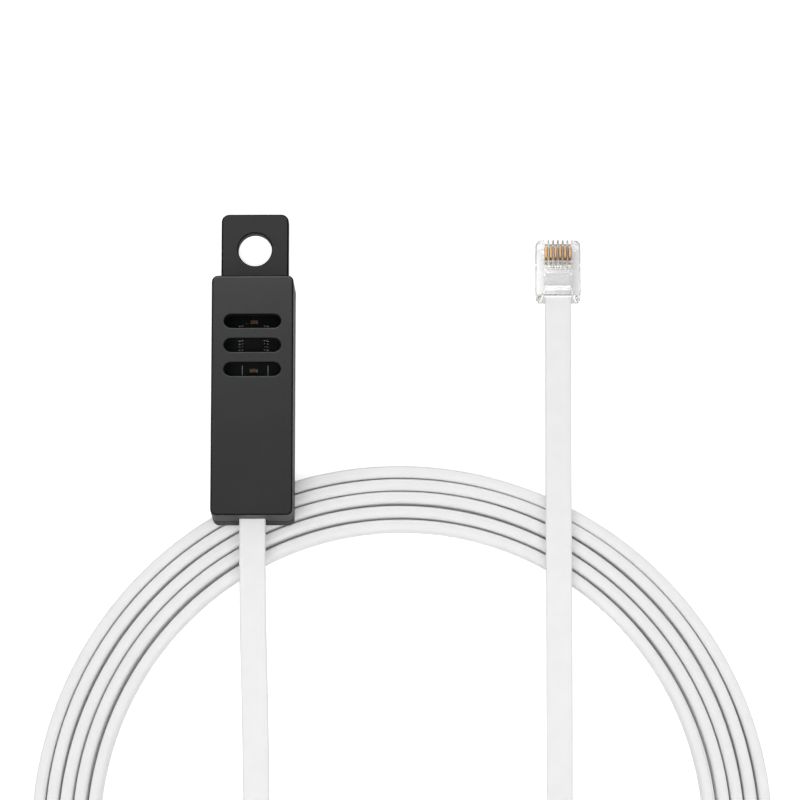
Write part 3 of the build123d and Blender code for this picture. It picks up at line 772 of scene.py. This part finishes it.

# %% [markdown]
# ## Wires
#
# The six conductors have thin coloured insulation, polypropylene in the colours of flat
# telephone cord. It is smooth and satin, with an IOR of 1.49. Inside the plug hardly any of
# those colours show: between the contacts the insulation looks tan from the gold beside it,
# and behind them it is washed out to near white. So there its colour is painted light: a tan
# painted reflection of the gold that fades to a painted near-white wash. The same wires in
# the head keep their full colours, mottled at 1.5 cells a millimetre.

# %% Wire insulation
# The second colour of each pair is painted light: the tan reflection of the gold in the plug.
WIRE_COLOURS = {
    "white": ("#e9e8e2", "#f6c896"),
    "black": ("#232323", "#ecbb8c"),
    "red": ("#c8362c", "#f2bd98"),
    "green": ("#2f8a47", "#cfb88c"),
    "yellow": ("#e6bd3c", "#e8b898"),
    "blue": ("#3c5fb4", "#d8b8b2"),
}
# Painted light: the near-white wash on the wires behind the contacts.
PAINTED_LIGHT_WASH = "#e4e0da"
TINT_ENDS, WHITE_STARTS = 23.2 * MM, 22.9 * MM


def insulation(name, colour):
    """Satin coloured insulation, a little uneven in tone."""
    material, shader = new_material(name + "_insulation", IOR=1.49, Roughness=0.35)
    uneven(material, shader, 1.5, tones=(colour, "#808080"), detail=1.0, most=0.12)
    return material


def insulation_in_plug(name, painted_gold_reflection):
    """Insulation in the plug: a painted gold reflection that fades to a painted near-white wash.
    """
    material, shader = new_material(name + "_painted_light_in_plug", IOR=1.49, Roughness=0.4)
    place = add_node(material, "ShaderNodeTexCoord")
    split_place = add_node(material, "ShaderNodeSeparateXYZ", i0=place.outputs["Object"])
    along = split_place.outputs["Y"]
    faded = add_node(material, "ShaderNodeMapRange", i0=along, i1=TINT_ENDS, i2=WHITE_STARTS)
    painted_reflection_colour, white = linear(painted_gold_reflection), linear(PAINTED_LIGHT_WASH)
    colour = add_node(material, "ShaderNodeMix", IN_COLOUR, i0=faded, i6=painted_reflection_colour, i7=white)
    link(material, colour, shader, "Base Color")
    return material


for name, (colour, painted_gold_reflection) in WIRE_COLOURS.items():
    dress(nodes["head_wire_" + name], insulation(name, colour))
    dress(nodes["plug_wire_" + name], insulation_in_plug(name, painted_gold_reflection))
print("wire colours:", *WIRE_COLOURS)

# %% [markdown]
# ## Board and chips
#
# The board is glass-epoxy laminate under a dark matt solder mask, which reflects very little.
# The chips are matt black epoxy, moulded round their tinned leads. The small capacitor is a
# fired ceramic block with metal ends. Behind the slots it is so dark that only the brightest
# of them show, and their colours are painted a little darker than their own: painted shade.
#
# Each finish has its own grain: the glass weave under the mask at a quarter of a millimetre,
# the filler in the epoxy at 0.07 mm, and the frost on the tin at 0.2 mm. The weave and the
# frost are drawn about as large as they are. The filler is some three times too coarse, so
# that it shows at all.

# %% Materials inside the head
MATT_SHEEN = 0.15

mask, mask_shader = new_material(
    "solder_mask", IOR=1.5, Roughness=0.6, Specular_IOR_Level=MATT_SHEEN
)
uneven(mask, mask_shader, 4.0, tones=("#0a0f0d", "#101613"))

epoxy, epoxy_shader = new_material("black_epoxy", IOR=1.5, Specular_IOR_Level=MATT_SHEEN)
epoxy_tones = ("#0e0e10", "#151518")
uneven(epoxy, epoxy_shader, 14.0, tones=epoxy_tones, roughness=(0.5, 0.7), depth_mm=0.01)

tin, tin_shader = new_material("tin_plate", Metallic=1.0, Base_Color=linear("#b0afab"))
uneven(tin, tin_shader, 5.0, roughness=(0.22, 0.4))

ceramic, ceramic_shader = new_material("tan_ceramic", IOR=1.6, Roughness=0.45)
# Painted shade: the tan ceramic is drawn darker than its own colour.
uneven(ceramic, ceramic_shader, 6.0, tones=("#4a3024", "#563829"))

for material, pieces in (
    (mask, ("circuit_board",)),
    (epoxy, ("controller_chip", "sensing_chip", "resistors")),
    (tin, ("controller_pins", "sensing_pins", "chip_part_ends", "solder_joints")),
    (ceramic, ("capacitors",)),
):
    for name in pieces:
        dress(nodes[name], material)
    print(material.name, "on", *pieces)

# %% [markdown]
# ## Print and pad on the board
#
# Two white printed lines cross the lowest slot, and a small bare copper pad shows in the
# highest one. Both could be painted into the board's colour, but the print stands on a real
# board as a thin coat of ink with an edge of its own. So they are thin boxes, drawn as an
# open frame that ends plainly below the slot. Their places are in millimetres from the
# middle of the head and from its low end.

# %% Print and pad
BOARD_TOP = 6.39
PRINT_LEFT, PRINT_RIGHT = -2.38, 3.1
PRINT_HIGH, PRINT_LOW = 33.4, 28.4
PRINT_WIDTH, PRINT_HEIGHT = 0.14, 0.03
PAD_ACROSS, PAD_ALONG, PAD_LENGTH, PAD_WIDTH = -1.45, 42.62, 0.6, 0.36


def thin_boxes(name, boxes):
    """One piece of thin boxes on the board, each (x low, x high, y low, y high) in mm."""
    mesh = bmesh.new()
    for x_low, x_high, y_low, y_high in boxes:
        middle = Vector(((x_low + x_high) / 2, (y_low + y_high) / 2, BOARD_TOP + PRINT_HEIGHT / 2))
        size = Matrix.Diagonal(
            ((x_high - x_low) * MM, (y_high - y_low) * MM, PRINT_HEIGHT * MM, 1)
        )
        place = HEAD @ Matrix.Translation(middle * MM) @ size
        bmesh.ops.create_cube(mesh, size=1.0, matrix=place)
    piece = finished(name, mesh)
    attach(piece, "root")
    return piece


half_line = PRINT_WIDTH / 2
inner_left, inner_right = PRINT_LEFT + half_line, PRINT_RIGHT - half_line
board_print = thin_boxes(
    "board_print",
    [
        (PRINT_LEFT - half_line, inner_left, PRINT_LOW, PRINT_HIGH),
        (inner_right, PRINT_RIGHT + half_line, PRINT_LOW, PRINT_HIGH),
        (inner_left, inner_right, PRINT_LOW, PRINT_LOW + PRINT_WIDTH),
    ],
)
ink, ink_shader = new_material("epoxy_ink", IOR=1.5, Roughness=0.6)
# The white print is drawn in grey: painted shade for the dark behind the slots.
uneven(ink, ink_shader, 5.0, tones=("#7c7e7c", "#a4a6a4"), span=CORE_OF_NOISE)
dress(board_print, ink)

half_pad = PAD_LENGTH / 2
copper_pad = thin_boxes(
    "copper_pad",
    [(PAD_ACROSS - half_pad, PAD_ACROSS + half_pad, PAD_ALONG - PAD_WIDTH, PAD_ALONG)],
)
copper, copper_shader = new_material("bare_copper", Metallic=1.0, Base_Color=linear("#a4623c"))
uneven(copper, copper_shader, 6.0, roughness=(0.3, 0.45))
dress(copper_pad, copper)
print("on the board:", board_print.name, "and", copper_pad.name)

# %% [markdown]
# ## Floor
#
# The floor is plain and white. It is lit like the object, so it keeps the object's soft
# shadow. A little light of its own lifts the open floor to white for the camera. More light
# from the lamps would do that too, but it would also bleach the cord. Reflections see less
# of the floor's own light, and the clear plug sees hardly any.

# %% Floor
FLOOR_SIZE = 3.0
FLOOR_DROP = 0.05 * MM
FLOOR_GLOWS = {"Is Camera Ray": 0.6, "Is Glossy Ray": 0.1, "Is Transmission Ray": 0.02}

floor_mesh = bmesh.new()
bmesh.ops.create_grid(floor_mesh, x_segments=1, y_segments=1, size=FLOOR_SIZE / 2)
bmesh.ops.translate(floor_mesh, verts=floor_mesh.verts, vec=(0, 0, -FLOOR_DROP))
floor = finished("floor", floor_mesh)
floor_paint = bpy.data.materials.new("floor_paint")
floor_paint.use_nodes = True
floor_paint.node_tree.nodes.clear()
matt = add_node(floor_paint, "ShaderNodeBsdfDiffuse", Color=linear("#f2f2f2"))
paths = add_node(floor_paint, "ShaderNodeLightPath")
strength = 0.0
for ray, most in FLOOR_GLOWS.items():
    seen = add_node(floor_paint, "ShaderNodeMath", TIMES, i0=paths.outputs[ray], i1=most)
    strength = add_node(floor_paint, "ShaderNodeMath", LARGER, i0=seen, i1=strength)
glow = add_node(floor_paint, "ShaderNodeEmission", Strength=strength)
both = add_node(floor_paint, "ShaderNodeAddShader", i0=matt, i1=glow)
add_node(floor_paint, "ShaderNodeOutputMaterial", Surface=both)
dress(floor, floor_paint)
print("floor's own light:", FLOOR_GLOWS)

# %% [markdown]
# ## World
#
# The world is a pale studio. It lights the object with a weak even glow, which fills the
# shadows. Reflections see another studio: bright overhead, with a brighter strip behind the
# head, and dark at the horizon, which draws a thin dark line along the head's rounded edges.
# The clear plug sees a studio that is white in the middle and grey at the sides, so that its
# edges stand out from the floor. Real cards and screens round the object would do the same,
# but a world that answers each kind of ray needs no room for them.

# %% World
EVEN_GLOW = 0.34
HORIZON_GLOW, OVERHEAD_GLOW = 0.01, 0.5
OVERHEAD_STARTS, OVERHEAD_FULL = 0.45, 0.98
BACK_STRIP = 2.6
STRIP_IN, STRIP_OUT, STRIP_ABOVE = (0.5, 0.66), (0.8, 0.92), (0.1, 0.3)
CLEAR_MIDDLE, CLEAR_SIDES = 0.95, 0.35
SIDES_START, SIDES_FULL = 0.45, 0.95
AS_VALUE = {"data_type": "FLOAT"}

world = bpy.data.worlds.new("studio")
world.use_nodes = True
world.node_tree.nodes.clear()
directions = add_node(world, "ShaderNodeTexCoord")
split = add_node(world, "ShaderNodeSeparateXYZ", i0=directions.outputs["Generated"]).outputs
overhead = add_node(
    world,
    "ShaderNodeMapRange",
    i0=split["Z"],
    i1=OVERHEAD_STARTS,
    i2=OVERHEAD_FULL,
    i3=HORIZON_GLOW,
    i4=OVERHEAD_GLOW,
)
strip = BACK_STRIP
for axis, (low, high), at_low, at_high in (
    ("Y", STRIP_IN, 0.0, 1.0),
    ("Y", STRIP_OUT, 1.0, 0.0),
    ("Z", STRIP_ABOVE, 0.0, 1.0),
):
    fade = add_node(
        world, "ShaderNodeMapRange", i0=split[axis], i1=low, i2=high, i3=at_low, i4=at_high
    )
    strip = add_node(world, "ShaderNodeMath", TIMES, i0=fade, i1=strip)
mirrored = add_node(world, "ShaderNodeMath", {"operation": "ADD"}, i0=overhead, i1=strip)
sideways = add_node(world, "ShaderNodeMath", {"operation": "ABSOLUTE"}, i0=split["X"])
clear_view = add_node(
    world,
    "ShaderNodeMapRange",
    i0=sideways,
    i1=SIDES_START,
    i2=SIDES_FULL,
    i3=CLEAR_MIDDLE,
    i4=CLEAR_SIDES,
)
world_paths = add_node(world, "ShaderNodeLightPath").outputs
studio_light = EVEN_GLOW
for ray, seen in (("Is Glossy Ray", mirrored), ("Is Transmission Ray", clear_view)):
    studio_light = add_node(
        world, "ShaderNodeMix", AS_VALUE, i0=world_paths[ray], i2=studio_light, i3=seen
    )
studio = add_node(world, "ShaderNodeBackground", Strength=studio_light)
add_node(world, "ShaderNodeOutputWorld", Surface=studio)
bpy.context.scene.world = world
print("studio with", len(world.node_tree.nodes), "nodes")

# %% [markdown]
# ## Lamps
#
# One large soft lamp overhead gives most of the light. Two weak ones on the near side light
# the walls that face the viewer. None of these three shows in a reflection. A small card
# lamp behind the head does only that: it grades the sheen on the face from the tab to the
# cord. One lamp for both jobs would be too bright in the face or too weak on the cord.

# %% Lamps
CARD_POWER, CARD_SIZE = 0.2, 0.16
TOP_POWER, TOP_SIZE = 22.5, 1.2
NEAR_POWER, NEAR_SIZE = 1.0, 0.5
LAMPS_FACE = (0.03, -0.04, 0)


def soft_lamp(name, power, size, place, target):
    """A square soft lamp that faces a point."""
    lamp_data = bpy.data.lights.new(name, "AREA")
    lamp_data.energy = power
    lamp_data.size = size
    lamp = bpy.data.objects.new(name, lamp_data)
    lamp.location = place
    lamp.rotation_euler = (Vector(target) - Vector(place)).to_track_quat("-Z", "Y").to_euler()
    bpy.context.scene.collection.objects.link(lamp)
    return lamp


card = soft_lamp("card_lamp", CARD_POWER, CARD_SIZE, (-0.02, 0.2, 0.28), (0.0, 0.02, 0))
card.visible_diffuse = False
for name, place, power, size in (
    ("near_left_lamp", (-0.6, -0.55, 0.6), NEAR_POWER, NEAR_SIZE),
    ("near_right_lamp", (0.66, -0.55, 0.6), NEAR_POWER, NEAR_SIZE),
    ("top_lamp", (0.03, -0.3, 1.8), TOP_POWER, TOP_SIZE),
):
    lamp = soft_lamp(name, power, size, place, LAMPS_FACE)
    lamp.visible_glossy = False
    lamp.visible_camera = False
print("lamps in W:", CARD_POWER, NEAR_POWER, NEAR_POWER, TOP_POWER)
